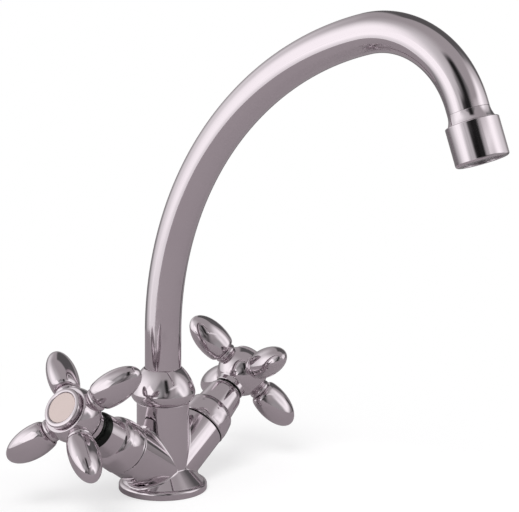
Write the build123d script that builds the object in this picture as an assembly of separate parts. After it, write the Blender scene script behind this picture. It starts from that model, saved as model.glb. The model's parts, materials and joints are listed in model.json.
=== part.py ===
from build123d import *
import os
from math import cos, hypot, radians, sin, sqrt

# Two handle kitchen faucet on a single deck hole, in millimetres and degrees.
# Origin: middle of the round base, on the deck. +Z is up, the spout points to -Y, the hot valve
# leans out to -X and the cold valve to +X.

# ------------------------------------------------------------------ driving dimensions

# clearances
RUNNING_FIT = 0.05          # radial, between a turning piece and its bore
FACE_GAP = 0.05             # between flat faces that slide on each other
ASSEMBLY_GAP = 0.1          # radial or axial, between pieces that are pushed together
FREE_GAP = 0.4              # between pieces that must never touch

# base
FLANGE_RADIUS = 24.5
FLANGE_HEIGHT = 4.6
FLANGE_TOP_ROUND = 1.8
FLANGE_EDGE_ROUND = 0.7
FOOT_RADIUS = 22.6          # lower end of the flare that stands on the ring
FOOT_HEIGHT = 8.3
FOOT_SPIGOT_RADIUS = 17.0   # part of the foot that centres the base ring
GASKET_INNER_RADIUS = 18.6
GASKET_WIDTH = 3.8
GASKET_THICKNESS = 2.0

# column
COLUMN_RADIUS = 14.5
COLUMN_HEIGHT = 49.5        # from the deck to the seam under the collar
COLLAR_THREAD_RADIUS = 13.0
COLLAR_THREAD_LENGTH = 8.5
SPOUT_BORE_DEPTH = 26.0     # from the top of the column
MIXING_RADIUS = 7.0
MIXING_DEPTH = 8.5          # below the floor of the spout bore

# threaded holes in the underside
INLET_OFFSET = 8.5          # hot at -X, cold at +X
INLET_THREAD_RADIUS = 4.46  # M10 x 1, drilled to the thread's crests
INLET_THREAD_LENGTH = 10.0
PASSAGE_RADIUS = 3.0
PORT_FLOOR_GAP = 1.0        # mixing port above the floor of the mixing space
STUD_OFFSET = 9.0           # one at the front, one at the back
STUD_HOLE_RADIUS = 3.32     # M8, drilled to the thread's crests
STUD_HOLE_LENGTH = 12.0

# valve arms
ARM_TILT = 34.5             # above the deck
ARM_AXIS_HEIGHT = 8.15      # where both arm axes cross the column axis
ARM_RADIUS = 14.4
ARM_LENGTH = 36.9           # along the arm, from the column axis to the seam of the bonnet
CHAMBER_RADIUS = 9.5
CHAMBER_DEPTH = 17.5

# valve
SEAL_THICKNESS = 2.0
DISC_RADIUS = 8.2           # bore of the cartridge round the discs
DISC_THICKNESS = 2.8
PORT_RADIUS = 2.4
PORT_OFFSET = 4.2
WINDOW_WIDTH = 8.2
DRIVER_WIDTH = 3.2
DRIVER_THICKNESS = 2.2
TONGUE_DEPTH = 1.2
SPINDLE_RADIUS = 4.5
HEXAGON_WIDTH = 22.0
HEXAGON_THICKNESS = 4.0
FLANGE_SEAL_THICKNESS = 0.6
NECK_RADIUS = 7.5
NECK_RECESS = 4.8           # top of the cartridge's neck, inside the top of the bonnet
SPLINE_RADIUS = 4.0
CLIP_THICKNESS = 0.8
CLIP_DEPTH = 0.75           # of its groove in the spindle
CLIP_RADIUS = 6.2
O_RING_SECTION_RADIUS = 0.75
SPINDLE_RING_SPACING = 6.0

# bonnet
BONNET_BAND_RADIUS = 14.7
BONNET_BEAD_PROUD = 0.6
BONNET_BEAD_LENGTH = 1.8
BONNET_BAND_LENGTH = 10.0
BONNET_BAND_BULGE = 0.35
BONNET_SHOULDER_RADIUS = 14.0
BONNET_DOME_LENGTH = 4.8
BONNET_DOME_BULGE = 0.6
BONNET_NECK_RADIUS = 11.4
BONNET_NECK_LENGTH = 9.8
BONNET_RIM_RADIUS = 10.5
BONNET_NOSE_LENGTH = 4.5
BONNET_NOSE_BULGE = 0.5
BONNET_TOP_RADIUS = 8.6
BONNET_TOP_LENGTH = 1.2
BONNET_WALL = 1.4

# handle
HUB_RADIUS = 14.6
HUB_NECK_RADIUS = 8.8
HUB_NECK_LENGTH = 14.8      # from the hub's lower end to the middle of the ball
HUB_FACE_OFFSET = 7.2       # the cut face that carries the cap
HUB_WEB = 3.0               # under the screw's head
SCREW_SHANK_RADIUS = 2.5
SCREW_SHANK_LENGTH = 10.0
SCREW_HEAD_RADIUS = 4.5
SCREW_HEAD_HEIGHT = 3.0
SCREW_SLOT_WIDTH = 1.2
SCREW_SLOT_DEPTH = 1.4
HOT_REST_ANGLE = 45.4       # turn of the lobes about the outward axis, from straight up
COLD_REST_ANGLE = 63.2
LOBES = 4
LOBE_SEAT = 13.4            # flat on the hub, from the handle axis
LOBE_STUD_RADIUS = 2.5
LOBE_STUD_LENGTH = 5.0
BEAD_ROOT_RADIUS = 5.3
BEAD_BULGE = 1.2
BEAD_LENGTH = 3.2
PETAL_CENTRE = 26.1         # from the handle axis
PETAL_HALF_LENGTH = 17.4
PETAL_HALF_WIDTH = 7.7
PETAL_HALF_DEPTH = 9.8
CAP_RADIUS = 11.0
CAP_THICKNESS = 3.3
CAP_GROOVE_DEPTH = 0.9
CAP_GROOVE_WIDTH = 0.8
CAP_RIM_BULGE = 0.55
CAP_RIM_HEIGHT = 1.2
CAP_SPIGOT_RADIUS = 5.2
INDEX_RADIUS = 8.3
INDEX_THICKNESS = 1.2
INDEX_RECESS = 0.5

# spout
TUBE_RADIUS = 10.0
TUBE_WALL = 1.25
TUBE_BASE_HEIGHT = 5.0      # start of the tube, above the top of the column
TUBE_RISE = 25.5
LONG_BEND_RADIUS = 167.7
LONG_BEND_ANGLE = 77.8
TIGHT_BEND_RADIUS = 49.9
TIGHT_BEND_ANGLE = 81.6
TUBE_END_LENGTH = 3.0       # straight, after the tight bend
SPIGOT_WALL = 3.2
SPIGOT_LENGTH = 30.0
SPIGOT_PLUG_LENGTH = 8.0
SPIGOT_RING_HEIGHT = 5.0    # lower O-ring, above the lower end of the spigot
SPIGOT_RING_SPACING = 8.0
SPLIT_RING_RADIUS = 12.6
SPLIT_RING_THICKNESS = 2.4
SPLIT_RING_SLOT = 3.0
RING_GROOVE_DEPTH = 1.0
GLIDE_RING_THICKNESS = 0.8

# collar
COLLAR_SEAM = 0.2
COLLAR_FOOT_RADIUS = 14.8
COLLAR_SKIRT_BULGE = 0.9
COLLAR_WAIST_HEIGHT = 5.9   # widest place, above the seam
COLLAR_RADIUS = 17.85
COLLAR_DOME_BULGE = 1.1
COLLAR_HEIGHT = 19.0
COLLAR_TOP_RADIUS = 10.8
COLLAR_TUBE_GAP = 0.3

# outlet
FLARE_LENGTH = 5.4
FLARE_RADIUS = 11.4
FLARE_HOLLOW = 0.35
AERATOR_THREAD_RADIUS = 10.9
AERATOR_THREAD_LENGTH = 8.0
OUTLET_BORE_RADIUS = 7.6
OUTLET_PLUG_LENGTH = 4.0
AERATOR_RADIUS = 12.75
AERATOR_LENGTH = 18.8
AERATOR_LIP = 1.2
AERATOR_MOUTH_RADIUS = 9.4
WASHER_THICKNESS = 1.5
INSERT_HOLE_RADIUS = 1.1
INSERT_ROW_SPACING = 2.9
SCREEN_THICKNESS = 0.7
SCREEN_HOLE_RADIUS = 0.75
SCREEN_PITCH = 2.5

# ------------------------------------------------------------------ places worked out from them

QUARTER_ARC_BULGE = 1 - sqrt(0.5)   # of a quarter circle of radius 1, off its chord

column_top = COLUMN_HEIGHT + COLLAR_THREAD_LENGTH
spout_bore_radius = TUBE_RADIUS + RUNNING_FIT
spout_bore_floor = column_top - SPOUT_BORE_DEPTH
mixing_floor = spout_bore_floor - MIXING_DEPTH

# along the arm
chamber_floor = ARM_LENGTH - CHAMBER_DEPTH
fixed_disc_base = chamber_floor + SEAL_THICKNESS
moving_disc_base = fixed_disc_base + DISC_THICKNESS + FACE_GAP
driver_base = moving_disc_base + DISC_THICKNESS + FACE_GAP
shaft_base = driver_base + DRIVER_THICKNESS
disc_cavity_top = shaft_base + ASSEMBLY_GAP
hexagon_base = ARM_LENGTH + FLANGE_SEAL_THICKNESS
bonnet_band_top = ARM_LENGTH + BONNET_BAND_LENGTH
bonnet_dome_top = bonnet_band_top + BONNET_DOME_LENGTH
bonnet_rim = bonnet_dome_top + BONNET_NECK_LENGTH
bonnet_nose_top = bonnet_rim + BONNET_NOSE_LENGTH
bonnet_top = bonnet_nose_top + BONNET_TOP_LENGTH
cartridge_top = bonnet_top - NECK_RECESS
clip_base = cartridge_top + FACE_GAP
handle_base = bonnet_top + FREE_GAP
handle_centre = handle_base + HUB_NECK_LENGTH
hub_face = handle_centre + HUB_FACE_OFFSET
spindle_top = handle_centre - RUNNING_FIT
screw_head_base = handle_centre + HUB_WEB
screw_head_top = screw_head_base + SCREW_HEAD_HEIGHT
cap_base = hub_face + ASSEMBLY_GAP
cap_top = cap_base + CAP_THICKNESS

cartridge_radius = CHAMBER_RADIUS - ASSEMBLY_GAP
spindle_bore_radius = SPINDLE_RADIUS + RUNNING_FIT
spindle_ring_heights = [cartridge_top - count * SPINDLE_RING_SPACING for count in (2, 1)]

# up the spout
tube_bore_radius = TUBE_RADIUS - TUBE_WALL
tube_base = column_top + TUBE_BASE_HEIGHT
spigot_base = tube_base - SPIGOT_LENGTH
spigot_ring_heights = [spigot_base + SPIGOT_RING_HEIGHT + count * SPIGOT_RING_SPACING for count in (0, 1)]
split_ring_base = column_top + GLIDE_RING_THICKNESS + FACE_GAP
upper_glide_base = split_ring_base + SPLIT_RING_THICKNESS + FACE_GAP
collar_ledge = upper_glide_base + GLIDE_RING_THICKNESS + FACE_GAP
collar_base = COLUMN_HEIGHT + COLLAR_SEAM
collar_top = COLUMN_HEIGHT + COLLAR_HEIGHT
collar_waist = COLUMN_HEIGHT + COLLAR_WAIST_HEIGHT
ring_groove_radius = TUBE_RADIUS - RING_GROOVE_DEPTH

# out of the end of the tube
housing_base = FLARE_LENGTH + ASSEMBLY_GAP
housing_end = housing_base + AERATOR_LENGTH
aerator_bore_radius = AERATOR_THREAD_RADIUS + ASSEMBLY_GAP
washer_base = FLARE_LENGTH + AERATOR_THREAD_LENGTH
insert_base = washer_base + WASHER_THICKNESS
lip_base = housing_end - AERATOR_LIP
screen_base = lip_base - SCREEN_THICKNESS


# ------------------------------------------------------------------ shapes used again and again

def arc_to(start, end, bulge):
    """An arc for turned(), standing off its chord by bulge, to the right on the way to end."""
    across = end[0] - start[0]
    along = end[1] - start[1]
    share = bulge / hypot(across, along)
    middle = ((start[0] + end[0]) / 2 + along * share, (start[1] + end[1]) / 2 - across * share)
    return (middle, end)


def turned(start, *steps):
    """A solid turned about local Z, from an outline of (radius, height) corners.

    A step is the next corner, or an arc as arc_to gives it.
    """
    edges = []
    here = start
    for step in steps + (start,):
        if isinstance(step[0], tuple):
            edges.append(ThreePointArc(here, step[0], step[1]))
            here = step[1]
        else:
            edges.append(Line(here, step))
            here = step
    return revolve(Plane.XZ * make_face(edges), Axis.Z)


def ring(inner, outer, base, top):
    """A plain ring about local Z."""
    return turned((inner, base), (outer, base), (outer, top), (inner, top))


def rod(radius, base, top):
    """A plain round rod about local Z."""
    return Pos(0, 0, base) * Cylinder(radius, top - base, align=(Align.CENTER, Align.CENTER, Align.MIN))


def rod_between(radius, start, end):
    """A round rod from one point to another."""
    direction = Vector(*end) - Vector(*start)
    return Plane(origin=start, z_dir=direction) * rod(radius, 0, direction.length)


def block(width, depth, base, top):
    """A square block about local Z."""
    return Pos(0, 0, base) * Box(width, depth, top - base, align=(Align.CENTER, Align.CENTER, Align.MIN))


def o_ring(outer_radius, height):
    """A round rubber ring that just reaches outer_radius."""
    return Pos(0, 0, height) * Torus(outer_radius - O_RING_SECTION_RADIUS, O_RING_SECTION_RADIUS)


def o_ring_groove(outer_radius, height):
    """The square groove that an O-ring of that size lies in, cut from outer_radius inwards."""
    floor = outer_radius - 2 * O_RING_SECTION_RADIUS - FACE_GAP
    half_width = O_RING_SECTION_RADIUS + ASSEMBLY_GAP
    return ring(floor, outer_radius + ASSEMBLY_GAP, height - half_width, height + half_width)


def hole_circle(radius, circle_radius, count, base, top):
    """Round holes on a circle about local Z."""
    hole = Pos(circle_radius, 0, 0) * rod(radius, base, top)
    return [Rot(0, 0, 360 / count * number) * hole for number in range(count)]


def group(solids):
    """Several separate solids kept as one piece."""
    return Compound(children=[Compound(solid.solids()) for solid in solids])


# Each arm has its own frame: origin on the column axis, local Z outwards along the arm and
# local X upwards, square to it.

SIDES = {"hot": -1, "cold": 1}
REST_ANGLES = {"hot": HOT_REST_ANGLE, "cold": COLD_REST_ANGLE}


def arm_frame(side):
    """side is -1 for hot and +1 for cold."""
    tilt = radians(ARM_TILT)
    return Plane(
        origin=(0, 0, ARM_AXIS_HEIGHT),
        x_dir=(-side * sin(tilt), 0, cos(tilt)),
        z_dir=(side * cos(tilt), 0, sin(tilt)),
    )


# ------------------------------------------------------------------ body

def arm_waterways(side):
    """Inlet thread, passage to the valve seat, valve chamber and the port to the mixing space."""
    frame = arm_frame(side)
    chamber = frame * rod(CHAMBER_RADIUS, chamber_floor, ARM_LENGTH)
    inlet_x = side * INLET_OFFSET
    inlet = Pos(inlet_x, 0, 0) * rod(INLET_THREAD_RADIUS, 0, INLET_THREAD_LENGTH)
    seat = frame.from_local_coords(Vector(0, 0, chamber_floor))
    passage = rod_between(PASSAGE_RADIUS, (inlet_x, 0, INLET_THREAD_LENGTH - PASSAGE_RADIUS), tuple(seat))
    window = frame.from_local_coords(Vector(0, 0, (fixed_disc_base + disc_cavity_top) / 2))
    port_height = mixing_floor + PASSAGE_RADIUS + PORT_FLOOR_GAP
    port = rod_between(PASSAGE_RADIUS, (0, 0, port_height), (window.X, 0, port_height))
    return chamber + inlet + passage + port


def body_casting():
    """Column, foot and both arms in one casting, with its bores."""
    foot_top = FLANGE_HEIGHT + FOOT_HEIGHT
    body = rod(COLUMN_RADIUS, FLANGE_HEIGHT, COLUMN_HEIGHT)
    body += rod(COLLAR_THREAD_RADIUS, COLUMN_HEIGHT, column_top)
    body += turned((0, FLANGE_HEIGHT), (FOOT_RADIUS, FLANGE_HEIGHT), (COLUMN_RADIUS, foot_top), (0, foot_top))
    for side in SIDES.values():
        body += arm_frame(side) * rod(ARM_RADIUS, 0, ARM_LENGTH)
    reach = ARM_LENGTH + ARM_RADIUS
    body -= rod(reach, -reach, FLANGE_HEIGHT)
    body += rod(FOOT_SPIGOT_RADIUS, 0, FLANGE_HEIGHT)
    body -= rod(spout_bore_radius, spout_bore_floor, column_top)
    body -= rod(MIXING_RADIUS, mixing_floor, spout_bore_floor)
    for side in SIDES.values():
        body -= arm_waterways(side)
        body -= Pos(0, side * STUD_OFFSET, 0) * rod(STUD_HOLE_RADIUS, 0, STUD_HOLE_LENGTH)
    return body


def base_ring():
    """Rounded ring under the foot, with a groove for the gasket."""
    bore = FOOT_SPIGOT_RADIUS + ASSEMBLY_GAP
    groove_inner = GASKET_INNER_RADIUS - ASSEMBLY_GAP
    groove_outer = GASKET_INNER_RADIUS + GASKET_WIDTH + ASSEMBLY_GAP
    edge_start = (FLANGE_RADIUS - FLANGE_EDGE_ROUND, 0)
    edge_end = (FLANGE_RADIUS, FLANGE_EDGE_ROUND)
    top_start = (FLANGE_RADIUS, FLANGE_HEIGHT - FLANGE_TOP_ROUND)
    top_end = (FLANGE_RADIUS - FLANGE_TOP_ROUND, FLANGE_HEIGHT)
    return turned(
        (bore, 0),
        (groove_inner, 0),
        (groove_inner, GASKET_THICKNESS),
        (groove_outer, GASKET_THICKNESS),
        (groove_outer, 0),
        edge_start,
        arc_to(edge_start, edge_end, FLANGE_EDGE_ROUND * QUARTER_ARC_BULGE),
        top_start,
        arc_to(top_start, top_end, FLANGE_TOP_ROUND * QUARTER_ARC_BULGE),
        (bore, FLANGE_HEIGHT),
    )


def base_gasket():
    """Rubber ring that seals on the deck."""
    return ring(GASKET_INNER_RADIUS, GASKET_INNER_RADIUS + GASKET_WIDTH, 0, GASKET_THICKNESS)


def spout_collar():
    """Domed nut on the column: threaded below, with a ledge over the upper glide ring."""
    bore = COLLAR_THREAD_RADIUS + ASSEMBLY_GAP
    tube_hole = TUBE_RADIUS + COLLAR_TUBE_GAP
    foot = (COLLAR_FOOT_RADIUS, collar_base)
    waist = (COLLAR_RADIUS, collar_waist)
    top = (COLLAR_TOP_RADIUS, collar_top)
    return turned(
        (bore, collar_base),
        foot,
        arc_to(foot, waist, COLLAR_SKIRT_BULGE),
        arc_to(waist, top, COLLAR_DOME_BULGE),
        (tube_hole, collar_top),
        (tube_hole, collar_ledge),
        (bore, collar_ledge),
    )


def glide_rings():
    """Two plastic rings, under and over the split ring."""
    inner = TUBE_RADIUS + ASSEMBLY_GAP
    return group(
        ring(inner, COLLAR_THREAD_RADIUS, base, base + GLIDE_RING_THICKNESS)
        for base in (column_top, upper_glide_base)
    )


# ------------------------------------------------------------------ valve, in its arm's frame

def seat_seal():
    """Rubber ring that the fixed disc stands on."""
    return ring(PORT_OFFSET, DISC_RADIUS - ASSEMBLY_GAP, chamber_floor, fixed_disc_base)


def disc_ports(angle, base):
    """The two round ports through a disc."""
    return Rot(0, 0, angle) * group(hole_circle(PORT_RADIUS, PORT_OFFSET, 2, base, base + DISC_THICKNESS))


def fixed_disc():
    """Ceramic disc that stands still in the cartridge."""
    radius = DISC_RADIUS - ASSEMBLY_GAP
    return rod(radius, fixed_disc_base, fixed_disc_base + DISC_THICKNESS) - disc_ports(0, fixed_disc_base)


def moving_disc():
    """Ceramic disc that the spindle turns: its ports are a quarter turn off when it is shut."""
    radius = DISC_RADIUS - 3 * ASSEMBLY_GAP
    top = moving_disc_base + DISC_THICKNESS
    disc = rod(radius, moving_disc_base, top) - disc_ports(90, moving_disc_base)
    slot_width = DRIVER_WIDTH + 2 * ASSEMBLY_GAP
    return disc - block(2 * DISC_RADIUS, slot_width, top - TONGUE_DEPTH - ASSEMBLY_GAP, top)


def cartridge_body():
    """Brass valve body: skirt with windows round the discs, hexagon, and a neck for the spindle."""
    skirt_base = fixed_disc_base - SEAL_THICKNESS / 2
    body = rod(cartridge_radius, skirt_base, hexagon_base)
    body += rod(NECK_RADIUS, hexagon_base, cartridge_top)
    hexagon = extrude(RegularPolygon(HEXAGON_WIDTH / 2, 6, major_radius=False), HEXAGON_THICKNESS)
    body += Pos(0, 0, hexagon_base) * hexagon
    body -= rod(DISC_RADIUS, skirt_base, disc_cavity_top)
    body -= rod(spindle_bore_radius, disc_cavity_top, cartridge_top)
    window_base = moving_disc_base + DISC_THICKNESS / 2
    for angle in (0, 90):
        body -= Rot(0, 0, angle) * block(2 * CHAMBER_RADIUS, WINDOW_WIDTH, window_base, disc_cavity_top)
    return body


def cartridge_seal():
    """Flat ring between the arm and the hexagon."""
    return ring(CHAMBER_RADIUS + ASSEMBLY_GAP, HEXAGON_WIDTH / 2, ARM_LENGTH, hexagon_base)


def spindle():
    """Driver bar below, shaft with O-ring grooves and clip groove, spline and screw hole on top."""
    tongue_base = driver_base - TONGUE_DEPTH
    bar = block(2 * DISC_RADIUS, DRIVER_WIDTH, tongue_base, shaft_base)
    body = bar & rod(DISC_RADIUS - 4 * ASSEMBLY_GAP, tongue_base, shaft_base)
    body += rod(SPINDLE_RADIUS, shaft_base, handle_base)
    body += rod(SPLINE_RADIUS, handle_base, spindle_top)
    for height in spindle_ring_heights:
        body -= o_ring_groove(SPINDLE_RADIUS, height)
    clip_top = clip_base + CLIP_THICKNESS
    body -= ring(SPINDLE_RADIUS - CLIP_DEPTH - FACE_GAP, CLIP_RADIUS, clip_base - FACE_GAP, clip_top + FACE_GAP)
    screw_depth = SCREW_SHANK_LENGTH - HUB_WEB + FREE_GAP
    return body - rod(SCREW_SHANK_RADIUS + RUNNING_FIT, spindle_top - screw_depth, spindle_top)


def spindle_o_rings():
    """The two rubber rings on the spindle."""
    return group(o_ring(SPINDLE_RADIUS, height) for height in spindle_ring_heights)


def spindle_clip():
    """Open spring ring that keeps the spindle down."""
    inner = SPINDLE_RADIUS - CLIP_DEPTH
    clip_top = clip_base + CLIP_THICKNESS
    opening = Pos(CLIP_RADIUS, 0, 0) * block(2 * CLIP_RADIUS, inner, clip_base, clip_top)
    return ring(inner, CLIP_RADIUS, clip_base, clip_top) - opening


def bonnet():
    """Bell-shaped cover: beaded foot, round band, dome, neck, and a rounded nose under the handle."""
    bead_base = ARM_LENGTH + FACE_GAP
    foot = (BONNET_BAND_RADIUS, bead_base)
    band_base = (BONNET_BAND_RADIUS, bead_base + BONNET_BEAD_LENGTH)
    shoulder = (BONNET_SHOULDER_RADIUS, bonnet_band_top)
    dome_top = (BONNET_NECK_RADIUS, bonnet_dome_top)
    rim = (BONNET_RIM_RADIUS, bonnet_rim)
    nose_top = (BONNET_TOP_RADIUS, bonnet_nose_top)
    neck_hole = NECK_RADIUS + ASSEMBLY_GAP
    top_hole = CLIP_RADIUS + FREE_GAP
    top_hole_base = cartridge_top + FREE_GAP
    room = HEXAGON_WIDTH / sqrt(3) + FREE_GAP
    return turned(
        (room, ARM_LENGTH),
        (BONNET_BAND_RADIUS, ARM_LENGTH),
        foot,
        arc_to(foot, band_base, BONNET_BEAD_PROUD),
        arc_to(band_base, shoulder, BONNET_BAND_BULGE),
        arc_to(shoulder, dome_top, BONNET_DOME_BULGE),
        rim,
        arc_to(rim, nose_top, BONNET_NOSE_BULGE),
        (BONNET_TOP_RADIUS, bonnet_top),
        (top_hole, bonnet_top),
        (top_hole, top_hole_base),
        (neck_hole, top_hole_base),
        (neck_hole, bonnet_dome_top - BONNET_WALL),
        (BONNET_SHOULDER_RADIUS - BONNET_WALL, bonnet_band_top - BONNET_WALL),
        (room, hexagon_base + HEXAGON_THICKNESS + FREE_GAP),
    )


# ------------------------------------------------------------------ handle, in its arm's frame

def lobe_angles():
    """Turn of each lobe about the handle's axis, from local X."""
    return [360 / LOBES * number for number in range(LOBES)]


def lobe_frame(angle):
    """Local Z out along a lobe, local Y along the handle's axis."""
    turn = radians(angle)
    return Plane(origin=(0, 0, handle_centre), x_dir=(-sin(turn), cos(turn), 0), z_dir=(cos(turn), sin(turn), 0))


def handle_hub():
    """Ball with a neck, a cut outer face, a flat and a hole for each lobe, and a stepped bore."""
    ball_foot = sqrt(HUB_RADIUS ** 2 - HUB_NECK_RADIUS ** 2)
    face_radius = sqrt(HUB_RADIUS ** 2 - HUB_FACE_OFFSET ** 2)
    hub = turned(
        (0, handle_base),
        (HUB_NECK_RADIUS, handle_base),
        (HUB_NECK_RADIUS, handle_centre - ball_foot),
        ((HUB_RADIUS, handle_centre), (face_radius, hub_face)),
        (0, hub_face),
    )
    seat_radius = sqrt(HUB_RADIUS ** 2 - LOBE_SEAT ** 2) + ASSEMBLY_GAP
    stud_hole = rod(LOBE_STUD_RADIUS + RUNNING_FIT, LOBE_SEAT - LOBE_STUD_LENGTH - ASSEMBLY_GAP, HUB_RADIUS)
    for angle in lobe_angles():
        hub -= lobe_frame(angle) * (rod(seat_radius, LOBE_SEAT, HUB_RADIUS + ASSEMBLY_GAP) + stud_hole)
    hub -= rod(SPLINE_RADIUS + RUNNING_FIT, handle_base, handle_centre)
    hub -= rod(SCREW_SHANK_RADIUS + RUNNING_FIT, handle_centre, screw_head_base)
    return hub - rod(CAP_SPIGOT_RADIUS + ASSEMBLY_GAP, screw_head_base, hub_face)


def handle_lobe(angle):
    """One petal with a bead at its root and the stud that screws into the hub."""
    bead_start = (BEAD_ROOT_RADIUS, LOBE_SEAT)
    bead_end = (BEAD_ROOT_RADIUS, LOBE_SEAT + BEAD_LENGTH)
    bead = turned((0, LOBE_SEAT), bead_start, arc_to(bead_start, bead_end, BEAD_BULGE), (0, bead_end[1]))
    stud = rod(LOBE_STUD_RADIUS, LOBE_SEAT - LOBE_STUD_LENGTH, LOBE_SEAT)
    petal = Pos(0, 0, PETAL_CENTRE) * scale(Sphere(1), by=(PETAL_HALF_WIDTH, PETAL_HALF_DEPTH, PETAL_HALF_LENGTH))
    petal -= rod(PETAL_HALF_LENGTH, PETAL_CENTRE - 2 * PETAL_HALF_LENGTH, bead_end[1])
    return lobe_frame(angle) * (petal + bead + stud)


def handle_screw():
    """Slotted screw that holds the hub on the spindle."""
    screw = rod(SCREW_HEAD_RADIUS, screw_head_base, screw_head_top)
    screw += rod(SCREW_SHANK_RADIUS, screw_head_base - SCREW_SHANK_LENGTH, screw_head_base)
    return screw - block(2 * SCREW_HEAD_RADIUS, SCREW_SLOT_WIDTH, screw_head_top - SCREW_SLOT_DEPTH, screw_head_top)


def index_cap():
    """Chromed cap: spigot in the hub, a narrow groove, and a rounded rim round the index disc."""
    spigot_end = screw_head_top + ASSEMBLY_GAP
    groove_radius = CAP_RADIUS - CAP_GROOVE_DEPTH
    groove_top = cap_base + CAP_GROOVE_WIDTH
    recess = INDEX_RADIUS + ASSEMBLY_GAP
    disc_seat = cap_top - INDEX_RECESS - INDEX_THICKNESS
    rim_outer = (CAP_RADIUS, cap_top - CAP_RIM_HEIGHT)
    rim_inner = (recess, cap_top - INDEX_RECESS)
    return turned(
        (0, spigot_end),
        (CAP_SPIGOT_RADIUS, spigot_end),
        (CAP_SPIGOT_RADIUS, cap_base),
        (groove_radius, cap_base),
        (groove_radius, groove_top),
        (CAP_RADIUS, groove_top),
        rim_outer,
        arc_to(rim_outer, rim_inner, CAP_RIM_BULGE),
        (recess, disc_seat),
        (0, disc_seat),
    )


def index_disc():
    """Plain disc in the cap."""
    top = cap_top - INDEX_RECESS
    return rod(INDEX_RADIUS, top - INDEX_THICKNESS, top)


# ------------------------------------------------------------------ spout

def spout_path():
    """Centre line of the tube: straight up, a long bend, then a tight one down to the outlet.

    It is drawn in a frame with local X towards the sink and local Y up.
    """
    rise = Line((0, tube_base), (0, tube_base + TUBE_RISE))
    long_bend = JernArc(rise @ 1, rise % 1, LONG_BEND_RADIUS, -LONG_BEND_ANGLE)
    tight_bend = JernArc(long_bend @ 1, long_bend % 1, TIGHT_BEND_RADIUS, -TIGHT_BEND_ANGLE)
    straight_end = Line(tight_bend @ 1, tight_bend @ 1 + (tight_bend % 1) * TUBE_END_LENGTH)
    frame = Plane(origin=(0, 0, 0), x_dir=(0, -1, 0), z_dir=(-1, 0, 0))
    return frame * Wire([rise, long_bend, tight_bend, straight_end])


def outlet_frame():
    """Local Z out of the end of the tube, local X across it."""
    path = spout_path()
    return Plane(origin=path @ 1, x_dir=(1, 0, 0), z_dir=path % 1)


def spout_tube():
    """Bent tube of one section."""
    path = spout_path()
    section = Plane(origin=path @ 0, x_dir=(1, 0, 0), z_dir=(0, 0, 1)) * (
        Circle(TUBE_RADIUS) - Circle(tube_bore_radius)
    )
    tube = sweep(section, path=path)
    share = tube.volume / (section.area * path.length)
    print(f"tube volume over section times length: {share:.5f}")
    return tube


def spout_spigot():
    """Brass end that turns in the column: O-ring grooves, split ring groove, plug in the tube."""
    plug_top = tube_base + SPIGOT_PLUG_LENGTH
    body = rod(TUBE_RADIUS, spigot_base, tube_base)
    body += rod(tube_bore_radius - RUNNING_FIT, tube_base, plug_top)
    for height in spigot_ring_heights:
        body -= o_ring_groove(TUBE_RADIUS, height)
    groove_base = split_ring_base - FACE_GAP
    groove_top = split_ring_base + SPLIT_RING_THICKNESS + FACE_GAP
    body -= ring(ring_groove_radius, SPLIT_RING_RADIUS, groove_base, groove_top)
    return body - rod(TUBE_RADIUS - SPIGOT_WALL, spigot_base, plug_top)


def spigot_o_rings():
    """The two rubber rings on the spigot."""
    return group(o_ring(TUBE_RADIUS, height) for height in spigot_ring_heights)


def split_ring():
    """Open ring in the spigot's groove, between the two glide rings."""
    top = split_ring_base + SPLIT_RING_THICKNESS
    body = ring(ring_groove_radius + RUNNING_FIT, SPLIT_RING_RADIUS, split_ring_base, top)
    slot = Pos(SPLIT_RING_RADIUS, 0, 0) * block(2 * SPLIT_RING_RADIUS, SPLIT_RING_SLOT, split_ring_base, top)
    return body - slot


def outlet_fitting():
    """Flared brass end of the tube, with the thread that the aerator screws on."""
    plug_radius = tube_bore_radius - RUNNING_FIT
    flare_start = (TUBE_RADIUS, 0)
    flare_end = (FLARE_RADIUS, FLARE_LENGTH)
    return turned(
        (OUTLET_BORE_RADIUS, -OUTLET_PLUG_LENGTH),
        (plug_radius, -OUTLET_PLUG_LENGTH),
        (plug_radius, 0),
        flare_start,
        arc_to(flare_start, flare_end, -FLARE_HOLLOW),
        (AERATOR_THREAD_RADIUS, FLARE_LENGTH),
        (AERATOR_THREAD_RADIUS, washer_base),
        (OUTLET_BORE_RADIUS, washer_base),
    )


def aerator_housing():
    """Chromed sleeve with a thread inside and a lip round the mouth."""
    round_start = (AERATOR_RADIUS, lip_base)
    round_end = (AERATOR_RADIUS - AERATOR_LIP, housing_end)
    return turned(
        (aerator_bore_radius, housing_base),
        (AERATOR_RADIUS, housing_base),
        round_start,
        arc_to(round_start, round_end, AERATOR_LIP * QUARTER_ARC_BULGE),
        (AERATOR_MOUTH_RADIUS, housing_end),
        (AERATOR_MOUTH_RADIUS, lip_base),
        (aerator_bore_radius, lip_base),
    )


def aerator_washer():
    """Rubber ring between the outlet fitting and the insert."""
    return ring(OUTLET_BORE_RADIUS, AERATOR_THREAD_RADIUS, washer_base, insert_base)


def aerator_insert():
    """Plastic flow former with two rings of holes in its floor."""
    insert = rod(AERATOR_THREAD_RADIUS, insert_base, screen_base)
    insert -= rod(OUTLET_BORE_RADIUS, insert_base, insert_base + WASHER_THICKNESS)
    for row in (1, 2):
        insert -= hole_circle(INSERT_HOLE_RADIUS, row * INSERT_ROW_SPACING, 6 * row, insert_base, screen_base)
    return insert


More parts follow.
